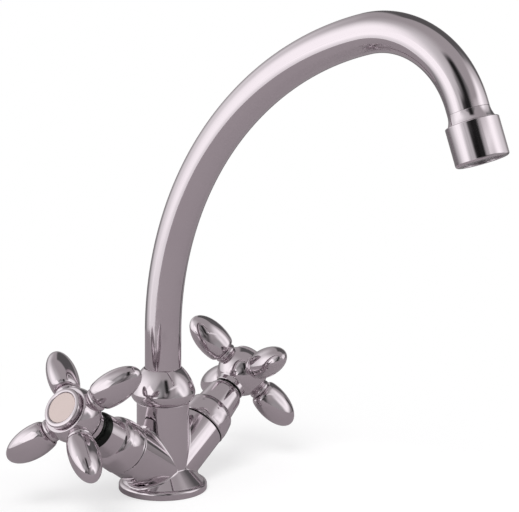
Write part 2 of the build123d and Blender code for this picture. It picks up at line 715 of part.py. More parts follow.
def aerator_screen():
    """Thin round plate with a honeycomb of holes, held by the lip."""
    screen = rod(AERATOR_THREAD_RADIUS, screen_base, lip_base)
    rows = int((AERATOR_MOUTH_RADIUS - SCREEN_HOLE_RADIUS) / SCREEN_PITCH)
    screen -= rod(SCREEN_HOLE_RADIUS, screen_base, lip_base)
    for row in range(1, rows + 1):
        screen -= hole_circle(SCREEN_HOLE_RADIUS, row * SCREEN_PITCH, 6 * row, screen_base, lip_base)
    return screen


# ------------------------------------------------------------------ assembly

def valve_pieces(name):
    """Pieces of one valve and its handle, by node name."""
    frame = arm_frame(SIDES[name])
    handle_frame = frame * Rot(0, 0, REST_ANGLES[name])
    pieces = {
        "bonnet": frame * bonnet(),
        "cartridge_body": frame * cartridge_body(),
        "cartridge_seal": frame * cartridge_seal(),
        "fixed_disc": frame * fixed_disc(),
        "seat_seal": frame * seat_seal(),
        "moving_disc": frame * moving_disc(),
        "spindle": frame * spindle(),
        "spindle_o_rings": frame * spindle_o_rings(),
        "spindle_clip": frame * spindle_clip(),
        "handle_hub": handle_frame * handle_hub(),
        "handle_screw": handle_frame * handle_screw(),
        "index_cap": handle_frame * index_cap(),
        "index_disc": handle_frame * index_disc(),
    }
    for number, angle in enumerate(lobe_angles(), start=1):
        pieces[f"handle_lobe_{number}"] = handle_frame * handle_lobe(angle)
    return {f"{name}_{piece}": solid for piece, solid in pieces.items()}


def faucet():
    """All pieces by node name."""
    outlet = outlet_frame()
    pieces = {
        "body_casting": body_casting(),
        "base_ring": base_ring(),
        "base_gasket": base_gasket(),
        "spout_collar": spout_collar(),
        "glide_rings": glide_rings(),
        "spout_tube": spout_tube(),
        "spout_spigot": spout_spigot(),
        "spigot_o_rings": spigot_o_rings(),
        "split_ring": split_ring(),
        "outlet_fitting": outlet * outlet_fitting(),
        "aerator_housing": outlet * aerator_housing(),
        "aerator_washer": outlet * aerator_washer(),
        "aerator_insert": outlet * aerator_insert(),
        "aerator_screen": outlet * aerator_screen(),
    }
    for name in SIDES:
        pieces.update(valve_pieces(name))
    return pieces


os.makedirs("parts", exist_ok=True)
for node, piece in faucet().items():
    export_step(piece, f"parts/{node}.step")
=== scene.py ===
"""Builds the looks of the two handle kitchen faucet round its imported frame."""

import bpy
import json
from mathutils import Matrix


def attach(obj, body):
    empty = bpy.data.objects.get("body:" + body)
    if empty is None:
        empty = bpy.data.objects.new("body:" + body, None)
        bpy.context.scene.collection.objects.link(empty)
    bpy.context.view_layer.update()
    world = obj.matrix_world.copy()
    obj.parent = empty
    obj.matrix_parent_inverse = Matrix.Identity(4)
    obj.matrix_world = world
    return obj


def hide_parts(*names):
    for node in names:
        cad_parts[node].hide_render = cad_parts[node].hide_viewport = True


bl_info = {
    "name": "Two Handle Kitchen Faucet",
    "version": (1, 0, 0),
    "blender": (4, 5, 0),
    "location": "3D View > Sidebar > Faucet",
    "description": "Adds the plated pieces, finishes and studio of a kitchen faucet",
    "category": "Add Mesh",
}

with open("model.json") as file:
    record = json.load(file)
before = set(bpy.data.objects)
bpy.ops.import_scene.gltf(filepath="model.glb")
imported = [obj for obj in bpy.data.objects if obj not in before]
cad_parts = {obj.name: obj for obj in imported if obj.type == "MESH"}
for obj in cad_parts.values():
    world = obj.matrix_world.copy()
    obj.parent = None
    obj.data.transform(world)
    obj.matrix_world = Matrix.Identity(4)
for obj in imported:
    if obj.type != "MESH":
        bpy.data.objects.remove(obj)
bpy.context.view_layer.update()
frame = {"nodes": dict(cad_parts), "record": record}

import json
import math
from itertools import accumulate

import bmesh
import bpy
from bpy.props import FloatProperty, FloatVectorProperty, IntProperty, PointerProperty
from mathutils import Matrix, Quaternion, Vector

JOINTS = {joint["name"]: joint for joint in frame["record"]["behaviour"]["joints"]}
VALVES = ("hot", "cold")
AIM = Vector((0, 0, 0.12))      # where the lamps and the near cards point
BEVEL_ANGLE = math.radians(28)  # edges sharper than this are rounded
SHARP_ANGLE = math.radians(44)  # what is sharper than this is shaded as an edge

# Sizes that the panel doesn't show, in metres
FIT = 0.0001  # between pieces that are pushed together
CAST_EDGE, TURNED_EDGE = 0.0004, 0.0002  # roundings
RING_EDGE, SLEEVE_EDGE = 0.0007, 0.0005
COLLAR_EDGE, BELL_EDGE, DISC_EDGE = 0.00035, 0.0003, 0.00025
ARM_START = 0.004  # from the column's axis
THREAD_RADIUS, THREAD_LENGTH = 0.013, 0.0085  # on the column, for the collar
BORE_RADIUS, BORE_DEPTH = 0.01005, 0.0175  # in the column, for the spout's end
CHAMBER_RADIUS, CHAMBER_DEPTH = 0.0095, 0.0175  # in each arm, for the cartridge
GASKET_GROOVE = 0.0185, 0.0225, 0.002  # inner and outer radius, and depth
COLLAR_LEDGE = 0.01265  # from the seam to the end of the thread
COLLAR_FOOT_BULGE, COLLAR_DOME_BULGE = 0.0009, 0.0011
BELL_BORE, BELL_BORE_LENGTH = 0.0132, 0.005  # at the seam
BELL_SHOULDER_BORE, BELL_NECK_BORE = 0.0126, 0.0076
BELL_WALL, BELL_LEDGE = 0.0014, 0.0026
BELL_SEAM = (0.0009, 0.00005), (0.0004, 0.0006)  # in from the band, and up from the seam
BELL_BULGES = 0.0003, 0.00035, 0.0006, 0.0005  # of the bead, band, dome and nose
SEAM_PAINTED_SHADE = 0.0005  # up from the seam: below it the bonnet's plate is painted black, as painted shade in the seam
NOSE_PAINTED_SHADE = {"hot": 0.0001, "cold": 0.0046}  # up from the rim: above it the plate is painted black, as painted shade under the handle, reaching further down on the hot bonnet
PLUG_LENGTH, PLUG_FIT = 0.004, 0.00005  # of the flared end in the tube
FLARE_BULGE, BEAD_BULGE = -0.00035, 0.0012
SPIGOT_RADIUS, SPIGOT_LENGTH = 0.0052, 0.0011  # under each cap
GROOVE_DEPTH, GROOVE_WIDTH = 0.0009, 0.0008  # round each cap's foot
RIM_HEIGHT, RIM_WIDTH, RIM_CROWN, RIM_BULGE = 0.0012, 0.0008, 0.0002, 0.00025
RECESS_MARGIN, RECESS_BULGE = 0.0006, 0.0001
GLOW_START, GLOW_END = 0.1, 0.32  # where the floor turns white, from the column's axis

# Shares
HOLLOW_SHARE, BACK_SHARE, BACK_DEPTH = 0.75, 0.78, 1.25  # of a cast blend's section
CORNER_SHARE = 0.25  # rounding at a petal's root, of half its size
FLOOR_GLOW, FLOOR_MIRRORED = 0.55, 0.08

FLOOR_WHITE = (0.92, 0.92, 0.92)
PLAIN_LIGHT = (0.62, 0.61, 0.62)
LAMPS = (  # name, place and size in metres, and share of the power
    ("key_lamp", (-1.3, -0.6, 1.5), 0.9, 1.0),
    ("fill_lamp", (1.2, -1.2, 1.0), 1.2, 0.5),
)


# ---- sizes and colours


def length(name, description, millimetres):
    """A length property, given in millimetres and kept in metres."""
    return FloatProperty(
        name=name, description=description, default=millimetres / 1000, min=0, precision=5,
        subtype="DISTANCE", unit="LENGTH",
    )


def angle(name, description, degrees):
    """An angle property, given in degrees and kept in radians."""
    return FloatProperty(
        name=name, description=description, default=math.radians(degrees),
        subtype="ANGLE", unit="ROTATION",
    )


def colour(name, description, red, green, blue):
    """A colour property."""
    return FloatVectorProperty(
        name=name, description=description, default=(red, green, blue), size=3, min=0, max=1,
        subtype="COLOR",
    )


class FaucetBody(bpy.types.PropertyGroup):
    """Sizes of the casting and the ring that it stands on."""

    ring_radius: length("Ring Radius", "Outer radius of the ring on the deck", 24.5)
    ring_height: length("Ring Height", "Height of the ring on the deck", 4.6)
    ring_round: length("Ring Round", "Rounding of the ring's upper edge", 1.8)
    ring_bore: length("Ring Bore", "Radius of the ring's bore", 17.1)
    foot_radius: length("Foot Radius", "Radius of the column's flared foot", 22.6)
    foot_height: length("Foot Height", "Height of the flared foot above the ring", 8.3)
    column_radius: length("Column Radius", "Radius of the column", 14.5)
    column_height: length("Column Height", "Height of the seam under the collar", 49.5)
    arm_radius: length("Arm Radius", "Radius of each valve arm", 14.4)
    arm_length: length("Arm Length", "From the column's axis to the bonnet, along the arm", 36.9)
    blend_radius: length("Blend Radius", "Cast rounding where the arms leave the column", 1.5)


class FaucetCollar(bpy.types.PropertyGroup):
    """Sizes of the domed nut on the column."""

    seam: length("Seam", "Gap between the column and the collar", 0.2)
    foot_radius: length("Foot Radius", "Radius at the seam", 14.8)
    waist_height: length("Waist Height", "Height of the widest place above the seam", 5.9)
    radius: length("Radius", "Radius of the widest place", 17.85)
    height: length("Height", "From the seam to the top", 19.0)
    top_radius: length("Top Radius", "Radius of the top rim", 10.8)
    bore: length("Bore", "Radius of the hole for the tube", 10.3)


class FaucetSpout(bpy.types.PropertyGroup):
    """Sizes of the bent tube."""

    radius: length("Radius", "Outer radius of the tube", 10.0)
    wall: length("Wall", "Thickness of the tube's wall", 1.25)
    base: length("Base", "Height of the tube's lower end", 63.0)
    rise: length("Rise", "Straight length before the long bend", 25.5)
    long_radius: length("Long Bend Radius", "Radius of the long bend's centre line", 167.7)
    long_angle: angle("Long Bend Angle", "Angle that the long bend turns through", 77.8)
    tight_radius: length("Tight Bend Radius", "Radius of the tight bend's centre line", 49.9)
    tight_angle: angle("Tight Bend Angle", "Angle that the tight bend turns through", 81.6)
    end_length: length("End Length", "Straight length after the tight bend", 3.0)


class FaucetOutlet(bpy.types.PropertyGroup):
    """Sizes of the flared end and the aerator sleeve."""

    flare_length: length("Flare Length", "Length of the flared end", 5.4)
    flare_radius: length("Flare Radius", "Radius of the flared end at the sleeve", 11.4)
    thread_radius: length("Thread Radius", "Outer radius of the thread in the sleeve", 10.9)
    thread_length: length("Thread Length", "Length of the thread in the sleeve", 8.0)
    bore: length("Bore", "Radius of the waterway", 7.6)
    sleeve_radius: length("Sleeve Radius", "Outer radius of the sleeve", 12.75)
    sleeve_length: length("Sleeve Length", "Length of the sleeve", 18.8)
    lip: length("Lip", "Thickness of the lip round the mouth", 1.2)
    mouth_radius: length("Mouth Radius", "Radius of the mouth", 9.4)


class FaucetBonnet(bpy.types.PropertyGroup):
    """Sizes of the bell-shaped cover over each valve."""

    bead_length: length("Bead Length", "Length of the bead at the seam", 1.8)
    band_radius: length("Band Radius", "Radius of the band at the bead", 14.7)
    band_length: length("Band Length", "From the seam to the shoulder", 10.0)
    shoulder_radius: length("Shoulder Radius", "Radius where the dome starts", 14.0)
    dome_length: length("Dome Length", "From the shoulder to the neck", 4.8)
    neck_radius: length("Neck Radius", "Radius of the neck at the dome", 11.4)
    neck_length: length("Neck Length", "From the dome to the rim", 9.8)
    rim_radius: length("Rim Radius", "Radius of the rim where the nose starts", 10.5)
    nose_length: length("Nose Length", "Length of the rounded nose", 4.5)
    top_radius: length("Top Radius", "Radius of the top", 8.6)
    top_length: length("Top Length", "From the nose to the handle's gap", 1.2)
    top_hole: length("Top Hole", "Radius of the hole in the top", 6.7)

    def heights(self, seam):
        """Places of the seam, shoulder, neck, rim, nose and top along the arm."""
        runs = self.band_length, self.dome_length, self.neck_length, self.nose_length
        return accumulate((*runs, self.top_length), initial=seam)


class FaucetHandle(bpy.types.PropertyGroup):
    """Sizes of the cross handles."""

    neck_gap: length("Neck Gap", "Between the bonnet and the hub", 0.4)
    neck_radius: length("Neck Radius", "Radius of the hub's neck", 8.8)
    neck_length: length("Neck Length", "From the neck's lower end to the ball's middle", 14.8)
    hub_radius: length("Hub Radius", "Radius of the ball", 14.6)
    face_offset: length("Face Offset", "From the ball's middle to its cut face", 7.2)
    hot_rest: angle("Hot Rest Angle", "Turn of the closed hot handle", 45.4)
    cold_rest: angle("Cold Rest Angle", "Turn of the closed cold handle", 63.2)
    lobes: IntProperty(
        name="Lobes", description="Number of lobes on each hub", default=4, min=1, max=4,
    )
    lobe_seat: length("Lobe Seat", "From the handle's axis to the bead", 13.4)
    bead_radius: length("Bead Radius", "Radius of the bead at its ends", 5.3)
    bead_length: length("Bead Length", "Length of the bead at the lobe's root", 3.2)
    petal_centre: length("Petal Centre", "From the handle's axis to the petal's middle", 26.1)
    petal_length: length("Petal Half Length", "Half the petal's length", 17.4)
    petal_width: length("Petal Half Width", "Half the petal's width", 7.7)
    petal_depth: length("Petal Half Depth", "Half the petal's depth", 9.8)
    cap_radius: length("Cap Radius", "Radius of the index cap", 11.0)
    cap_thickness: length("Cap Thickness", "Thickness of the index cap", 3.3)
    index_radius: length("Index Radius", "Radius of the plain disc in the cap", 8.3)
    index_thickness: length("Index Thickness", "Thickness of the plain disc", 1.2)
    index_recess: length("Index Recess", "Depth of the disc's face below the rim", 0.5)


class FaucetFinish(bpy.types.PropertyGroup):
    """Colours of the finishes."""

    chrome: colour("Chrome", "Polished chrome plate", 0.665, 0.605, 0.64)
    chrome_shade: colour("Chrome Shade", "Duller places in the plate", 0.63, 0.565, 0.605)
    # Painted shade: the black that the bonnets' plate is painted with in the seam and under each
    # handle
    shade_black: colour("Black", "Dark places in the plate", 0.022, 0.024, 0.022)
    index: colour("Index", "Plain disc in the cap", 0.575, 0.475, 0.45)
    brass: colour("Brass", "Turned brass", 0.76, 0.58, 0.30)
    steel: colour("Steel", "Stainless steel", 0.62, 0.62, 0.63)
    rubber: colour("Rubber", "Rubber rings", 0.035, 0.035, 0.037)
    talc: colour("Talc", "Talc in the rubber's grain", 0.115, 0.115, 0.117)
    ceramic: colour("Ceramic", "Lapped ceramic discs", 0.86, 0.85, 0.81)
    glide: colour("Glide Plastic", "Glide rings", 0.82, 0.81, 0.77)
    moulding: colour("Moulded Plastic", "Aerator insert", 0.52, 0.53, 0.55)


class FaucetStudio(bpy.types.PropertyGroup):
    """Camera, floor and light."""

    azimuth: angle("Azimuth", "Camera's direction round the faucet", -50.626)
    elevation: angle("Elevation", "Camera's height above the horizon", 8.89)
    roll: angle("Roll", "Camera's turn about its own axis", 0.645)
    distance: length("Distance", "From the camera to its target", 845.9)
    target_height: length("Target Height", "Height of the camera's target", 131.16)
    target_shift: length("Target Shift", "Target's place to the camera's right", 52.33)
    lens: FloatProperty(
        name="Lens", description="Focal length for a 36 mm sensor", default=107.96, min=1,
    )
    floor_radius: length("Floor Radius", "Radius of the round floor", 450)
    floor_colour: colour("Floor", "Pale floor", 0.30, 0.275, 0.285)
    room_below: colour("Room Below", "The room towards the floor", 0.208, 0.197, 0.20)
    room_above: colour("Room Above", "The room towards the ceiling", 0.455, 0.436, 0.441)
    key_power: FloatProperty(
        name="Key Power", description="Power of the main lamp", default=26, min=0, unit="POWER",
    )


# ---- meshes


class Outline:
    """A line in the XZ plane, drawn from place to place and then turned into a solid about Z."""

    def __init__(self, radius, height):
        self.mesh = bmesh.new()
        self.last = self.mesh.verts.new((radius, 0, height))

    def out(self, radius):
        """A straight run to a radius."""
        return self.to(radius, self.last.co.z)

    def up(self, height):
        """A straight run to a height."""
        return self.to(self.last.co.x, height)

    def to(self, radius, height):
        """A straight run."""
        made = bmesh.ops.extrude_vert_indiv(self.mesh, verts=[self.last])
        self.last = made["verts"][0]
        self.last.co = (radius, 0, height)
        return self

    def arc(self, radius, height, bulge, steps=10):
        """An arc that stands off its chord by bulge, to the right on the way."""
        end = Vector((radius, 0, height))
        chord = end - self.last.co
        right = Vector((chord.z, 0, -chord.x)).normalized()
        reach = (chord.length_squared / 4 - bulge * bulge) / (2 * bulge)
        made = bmesh.ops.spin(
            self.mesh, geom=[self.last], cent=(self.last.co + end) / 2 - right * reach,
            axis=(0, -1, 0), angle=4 * math.atan2(2 * bulge, chord.length), steps=steps,
        )
        self.last = next(
            item for item in made["geom_last"] if isinstance(item, bmesh.types.BMVert)
        )
        self.last.co = end
        return self

    def quarter(self, radius, height, steps=10):
        """A quarter of a circle."""
        bulge = abs(radius - self.last.co.x) * (1 - math.sqrt(0.5))
        return self.arc(radius, height, bulge, steps)

    def turned(self, steps=128, edge=0.0):
        """The solid, with its sharp edges rounded."""
        spin_round(self.mesh, steps)
        if edge:
            round_edges(self.mesh, edge)
        return self.mesh


def spin_round(mesh, steps):
    """Turns a line into a closed skin about Z."""
    bmesh.ops.spin(
        mesh, geom=mesh.verts[:] + mesh.edges[:], axis=(0, 0, 1), angle=math.tau,
        steps=steps, use_merge=True,
    )
    weld(mesh)


def weld(mesh):
    """Merges doubled vertices and points all faces outwards."""
    bmesh.ops.remove_doubles(mesh, verts=mesh.verts, dist=1e-7)
    bmesh.ops.recalc_face_normals(mesh, faces=mesh.faces)


def round_edges(mesh, width):
    """Rounds the sharp edges."""
    edges = [
        edge for edge in mesh.edges if edge.is_manifold and edge.calc_face_angle(0) > BEVEL_ANGLE
    ]
    bmesh.ops.bevel(
        mesh, geom=edges, offset=width, offset_type="OFFSET", segments=3, profile=0.5,
        affect="EDGES", clamp_overlap=True, material=-1,
    )


def placed(mesh, matrix):
    """The mesh after it is moved to its place."""
    bmesh.ops.transform(mesh, matrix=matrix, verts=mesh.verts)
    return mesh


def joined(*meshes):
    """Several shells in one mesh."""
    whole = bmesh.new()
    for mesh in meshes:
        part = bpy.data.meshes.new("part")
        mesh.to_mesh(part)
        mesh.free()
        whole.from_mesh(part)
        bpy.data.meshes.remove(part)
    return whole


def add_object(name, mesh, material):
    """An object made of a mesh and a material."""
    data = bpy.data.meshes.new(name)
    mesh.to_mesh(data)
    mesh.free()
    data.materials.append(material)
    made = bpy.data.objects.new(name, data)
    bpy.context.scene.collection.objects.link(made)
    return made


def add_piece(name, mesh, body, slot, finish, *nodes):
    """Makes a mesh a piece that rides on a body and stands for CAD nodes."""
    piece = add_object(name, mesh, finish)
    piece.data.shade_smooth()
    piece.data.set_sharp_from_angle(angle=SHARP_ANGLE)
    piece.modifiers.new("Weighted Normals", "WEIGHTED_NORMAL").keep_sharp = True
    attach(piece, body)
    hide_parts(*nodes)


def arm_place(valve):
    """Z out along a valve arm, X square to it and upwards, origin on the column's axis."""
    joint = JOINTS[f"{valve}_handle_turn"]
    outwards = Vector(joint["axis"]).normalized()
    across = outwards.cross(Vector((0, 0, 1))).normalized()
    turn = Matrix((across.cross(outwards), across, outwards)).transposed()
    return Matrix.Translation(joint["pos_m"]) @ turn.to_4x4()


def handle_place(valve):
    """Z out along the handle's axis, X along its first lobe, origin in the middle of the ball."""
    scene = bpy.context.scene
    handle = scene.faucet_handle
    *_, top = scene.faucet_bonnet.heights(scene.faucet_body.arm_length)
    centre = top + handle.neck_gap + handle.neck_length
    rest = handle.hot_rest if valve == "hot" else handle.cold_rest
    return arm_place(valve) @ Matrix.Translation((0, 0, centre)) @ Matrix.Rotation(rest, 4, "Z")


def outlet_place():
    """Z out of the end of the tube, origin in the middle of the end."""
    spout = bpy.context.scene.faucet_spout
    place = Matrix.Translation((0, 0, spout.base + spout.rise))
    for radius, turn in (
        (spout.long_radius, spout.long_angle), (spout.tight_radius, spout.tight_angle),
    ):
        place = place @ bend(radius, turn)
    return place @ Matrix.Translation((0, 0, spout.end_length))


def bend(radius, turn):
    """The move from one end of a bend in the tube to the other."""
    centre = Matrix.Translation((0, -radius, 0))
    return centre @ Matrix.Rotation(turn, 4, "X") @ centre.inverted()


# ---- finishes


def both_ways(operation):
    """An operator that adds a Math node, and its reflected form."""
    return (
        lambda self, other: self.math(operation, self, other),
        lambda self, other: self.math(operation, other, self),
    )


class Value:
    """A socket that adds Math nodes when it stands in an expression."""

    def __init__(self, paint, socket):
        self.paint = paint
        self.socket = socket

    def math(self, operation, *values):
        settings = {"operation": operation}
        return self.paint.node("ShaderNodeMath", settings, dict(enumerate(values)))

    __add__, __radd__ = both_ways("ADD")
    __sub__, __rsub__ = both_ways("SUBTRACT")
    __mul__, __rmul__ = both_ways("MULTIPLY")
    __truediv__, __rtruediv__ = both_ways("DIVIDE")

    def __abs__(self):
        return self.math("ABSOLUTE", self)

    def step(self, low, high):
        """0 below low, 1 above high and smooth between."""
        settings = {"interpolation_type": "SMOOTHSTEP"}
        inputs = {"Value": self, "From Min": low, "From Max": high, "To Min": 0.0, "To Max": 1.0}
        return self.paint.node("ShaderNodeMapRange", settings, inputs)


class Paint:
    """The nodes of one material or of the world."""

    def __init__(self, owner):
        owner.use_nodes = True
        self.owner = owner
        self.tree = owner.node_tree
        self.tree.nodes.clear()
        self.colours = bpy.context.scene.faucet_finish

    def node(self, kind, settings=None, inputs=None, output=0):
        """A node with its settings, then its sockets' values or links, as one of its outputs."""
        node = self.tree.nodes.new(kind)
        for name, value in (settings or {}).items():
            setattr(node, name, value)
        for name, value in (inputs or {}).items():
            if isinstance(value, Value):
                self.tree.links.new(value.socket, node.inputs[name])
            else:
                node.inputs[name].default_value = value
        return Value(self, node.outputs[output]) if node.outputs else None

    def mix(self, factor, first, second):
        """A colour between two colours."""
        settings = {"data_type": "RGBA", "clamp_factor": True}
        first, second = (
            part if isinstance(part, Value) else (*part, 1) for part in (first, second)
        )
        inputs = {0: factor, 6: first, 7: second}
        return self.node("ShaderNodeMix", settings, inputs, output=2)

    def darker(self, factor, tint, share):
        """A colour between one colour and a share of it."""
        return self.mix(factor, tint, [part * share for part in tint])

    def place(self, scale=(1, 1, 1), turn=(0, 0, 0)):
        """Object coordinates, turned and scaled."""
        inputs = {"Vector": self.node("ShaderNodeTexCoord", output=3), "Rotation": turn}
        mapping = self.node("ShaderNodeMapping", {"vector_type": "POINT"}, inputs)
        inputs = {0: mapping, 1: scale}
        return self.node("ShaderNodeVectorMath", {"operation": "MULTIPLY"}, inputs)

    def dot(self, vector, axis):
        """How far a vector reaches along an axis."""
        inputs = {0: vector, 1: axis}
        return self.node("ShaderNodeVectorMath", {"operation": "DOT_PRODUCT"}, inputs, output=1)

    def noise(self, vector, scale, detail=2.0, roughness=0.5):
        """Noise between 0 and 1."""
        inputs = {"Vector": vector, "Scale": scale, "Detail": detail, "Roughness": roughness}
        return self.node("ShaderNodeTexNoise", {}, inputs)

    def bump(self, height, distance, strength=1.0, normal=None):
        """A normal that follows a height."""
        inputs = {"Height": height, "Distance": distance, "Strength": strength}
        if normal:
            inputs["Normal"] = normal
        return self.node("ShaderNodeBump", {}, inputs)

    def diffuse(self, tint):
        """A matt shader."""
        return self.node("ShaderNodeBsdfDiffuse", {}, {"Color": (*tint, 1)})

    def glow(self, brightness):
        """A shader that gives grey light."""
        colour = (brightness, brightness, brightness, 1)
        return self.node("ShaderNodeEmission", {}, {"Color": colour, "Strength": 1.0})

    def over(self, share, below, above):
        """One shader over another."""
        return self.node("ShaderNodeMixShader", {}, {0: share, 1: below, 2: above})

    def output(self, shader, kind="ShaderNodeOutputMaterial"):
        """Puts a shader on the output of the material or world, which it returns."""
        self.node(kind, {}, {"Surface": shader})
        return self.owner

    def surface(self, inputs):
        """Puts a Principled shader on the output."""
        return self.output(self.node("ShaderNodeBsdfPrincipled", {}, inputs))


def new_paint(name):
    """The empty node tree of a material."""
    return Paint(bpy.data.materials.get(name) or bpy.data.materials.new(name))


def chrome(name, grain=(1, 1, 1), turn=(0, 0, 0), waviness=1.0, dark=None):
    """Chrome plate: soft waves of hand polishing, faint grain along the work, and smudges.

    Dark, if given, is a place, an axis and two heights: the plate is painted black, as painted
    shade, below the first height, in a seam, and above the second, under a handle.
    """
    paint = new_paint(name)
    here = paint.place()
    smudges = paint.noise(here, 55, 3, 0.6)
    clouds = paint.noise(here, 24, 2)
    scratches = paint.noise(paint.place(grain, turn), 900, 3, 0.7)
    waves = paint.noise(here, 95, 1)
    shade = clouds.step(0.42, 0.72) * 0.5 + smudges.step(0.55, 0.8) * 0.35
    tint = paint.mix(shade, paint.colours.chrome, paint.colours.chrome_shade)
    rough = 0.055 + smudges.step(0.45, 0.85) * 0.05 + scratches.step(0.5, 0.8) * 0.03
    if dark:
        # painted shade: black in the bonnet's seam and under the handle, and a little rougher
        # there
        origin, axis, seam, nose = dark
        height = paint.dot(here, axis) - origin.dot(axis)
        painted_shade = 1 - height.step(seam, seam + 0.0003) + height.step(nose - 0.0001, nose + 0.0003)
        tint = paint.mix(painted_shade, tint, paint.colours.shade_black)
        rough = rough + painted_shade * 0.12
    soft = paint.bump(waves, 0.00003 * waviness)
    return paint.surface({
        "Base Color": tint,
        "Metallic": 1.0,
        "Roughness": rough,
        "Normal": paint.bump(scratches, 0.000002, 0.5, soft),
    })


def index_enamel():
    """Pale plain enamel with a slight orange peel and dust in it."""
    paint = new_paint("index_enamel")
    here = paint.place()
    peel = paint.noise(here, 700, 2)
    dust = paint.noise(here, 2600, 1).step(0.68, 0.74)
    patches = paint.noise(here, 140, 2)
    return paint.surface({
        "Base Color": paint.darker(patches * 0.5 + dust * 0.3, paint.colours.index, 0.9),
        "Roughness": 0.3 + patches * 0.12,
        "Normal": paint.bump(peel, 0.00002, 0.6),
        "Coat Weight": 0.4,
        "Coat Roughness": 0.08,
    })


def turned_brass():
    """Bare brass with turning marks and tarnish."""
    paint = new_paint("turned_brass")
    marks = paint.noise(paint.place((1, 1, 14)), 300, 3, 0.6)
    tarnish = paint.noise(paint.place(), 120, 4, 0.65).step(0.45, 0.75)
    return paint.surface({
        "Base Color": paint.darker(tarnish * 0.55, paint.colours.brass, 0.62),
        "Metallic": 1.0,
        "Roughness": 0.22 + marks * 0.12 + tarnish * 0.14,
        "Normal": paint.bump(marks, 0.00001, 0.7),
    })


def bare_steel():
    """Stainless steel with a fine brushed grain."""
    paint = new_paint("bare_steel")
    grain = paint.noise(paint.place((1, 18, 1)), 420, 3, 0.65)
    clouds = paint.noise(paint.place(), 160, 2)
    return paint.surface({
        "Base Color": paint.darker(clouds * 0.4 + grain * 0.2, paint.colours.steel, 0.72),
        "Metallic": 1.0,
        "Roughness": 0.24 + grain * 0.16,
        "Normal": paint.bump(grain, 0.000008, 0.8),
    })


def black_rubber():
    """Matt rubber with talc in its grain."""
    paint = new_paint("black_rubber")
    here = paint.place()
    grain = paint.noise(here, 1800, 3, 0.7)
    talc = paint.noise(here, 260, 3, 0.6).step(0.55, 0.8)
    return paint.surface({
        "Base Color": paint.mix(talc * 0.6, paint.colours.rubber, paint.colours.talc),
        "Roughness": 0.62 + talc * 0.2,
        "Normal": paint.bump(grain, 0.00004, 0.7),
    })


def lapped_ceramic():
    """Dense white ceramic with faint lapping marks and specks."""
    paint = new_paint("lapped_ceramic")
    marks = paint.noise(paint.place((6, 1, 1)), 700, 2, 0.6)
    specks = paint.noise(paint.place(), 3000, 1).step(0.7, 0.76)
    return paint.surface({
        "Base Color": paint.darker(specks * 0.6 + marks * 0.12, paint.colours.ceramic, 0.82),
        "Roughness": 0.18 + marks * 0.1,
        "Normal": paint.bump(marks, 0.000004, 0.5),
    })


def moulded_plastic(name, tint, scale):
    """Matt moulded plastic with a fine spark-eroded texture."""
    paint = new_paint(name)
    texture = paint.noise(paint.place(), 1500 * scale, 2, 0.6)
    flow = paint.noise(paint.place((1, 1, 4)), 120 * scale, 2)
    return paint.surface({
        "Base Color": paint.darker(flow * 0.7, tint, 0.86),
        "Roughness": 0.42 + texture * 0.15,
        "Normal": paint.bump(texture, 0.00002, 0.6),
    })


# ---- pieces


def nearest_on_core(point):
    """Place on the column or its foot that is nearest to a point, and the distance to it."""
    body = bpy.context.scene.faucet_body
    corners = [
        Vector((body.foot_radius, body.ring_height)),
        Vector((body.column_radius, body.ring_height + body.foot_height)),
        Vector((body.column_radius, body.column_height)),
    ]
    flat = Vector((math.hypot(point.x, point.y), point.z))
    found = []
    for start, end in zip(corners, corners[1:]):
        run = end - start
        share = max(0, min(1, (flat - start).dot(run) / run.length_squared))
        near = start + run * share
        side = (flat - near).dot(Vector((run.y, -run.x)))
        found.append((near, math.copysign((flat - near).length, side)))
    near, away = min(found, key=lambda item: abs(item[1]))
    scale = near.x / flat.x
    return Vector((point.x * scale, point.y * scale, near.y)), away


def blend_bead(valve):
    """The cast rounding round the place where an arm leaves the column, as a closed bead."""
    body = bpy.context.scene.faucet_body
    place = arm_place(valve)
    mesh = bmesh.new()
    bmesh.ops.create_circle(mesh, segments=16, radius=0.2)
    placed(mesh, Matrix.Translation((1, 0, 0)) @ Matrix.Rotation(math.pi / 2, 4, "X"))
    spin_round(mesh, 144)
    contacts = {}
    for vertex in mesh.verts:
        across, along, height = vertex.co
        round_arm = math.atan2(along, across)
        section = math.atan2(height, math.hypot(across, along) - 1) % math.tau
        key = round(round_arm, 4)
        if key not in contacts:
            contacts[key] = blend_contacts(place, round_arm, body.arm_radius, body.blend_radius)
        vertex.co = blend_point(*contacts[key], section / math.tau)
    bmesh.ops.recalc_face_normals(mesh, faces=mesh.faces)
    return mesh


def blend_contacts(place, round_arm, arm_radius, ball):
    """Where a ball that rolls in the corner touches the arm and the core, and its centre."""
    outwards = Vector((math.cos(round_arm), math.sin(round_arm), 0))
    low, high = 0.0, 0.05
    for _ in range(40):
        middle = (low + high) / 2
        centre = place @ (outwards * (arm_radius + ball) + Vector((0, 0, middle)))
        if nearest_on_core(centre)[1] < ball:
            low = middle
        else:
            high = middle
    on_arm = place @ (outwards * arm_radius + Vector((0, 0, high)))
    return on_arm, nearest_on_core(centre)[0], centre


def blend_point(on_arm, on_core, centre, share):
    """A place on the bead's section: the hollow face first, then back inside the casting."""
    first, second = on_arm - centre, on_core - centre
    if share > BACK_SHARE:
        return centre + (first + second) * BACK_DEPTH
    share = min(1, share / HOLLOW_SHARE)
    spread = first.angle(second, 0)
    if spread < 1e-3:
        return on_arm.lerp(on_core, share)
    hollow = first * math.sin((1 - share) * spread) + second * math.sin(share * spread)
    return centre + hollow / math.sin(spread)


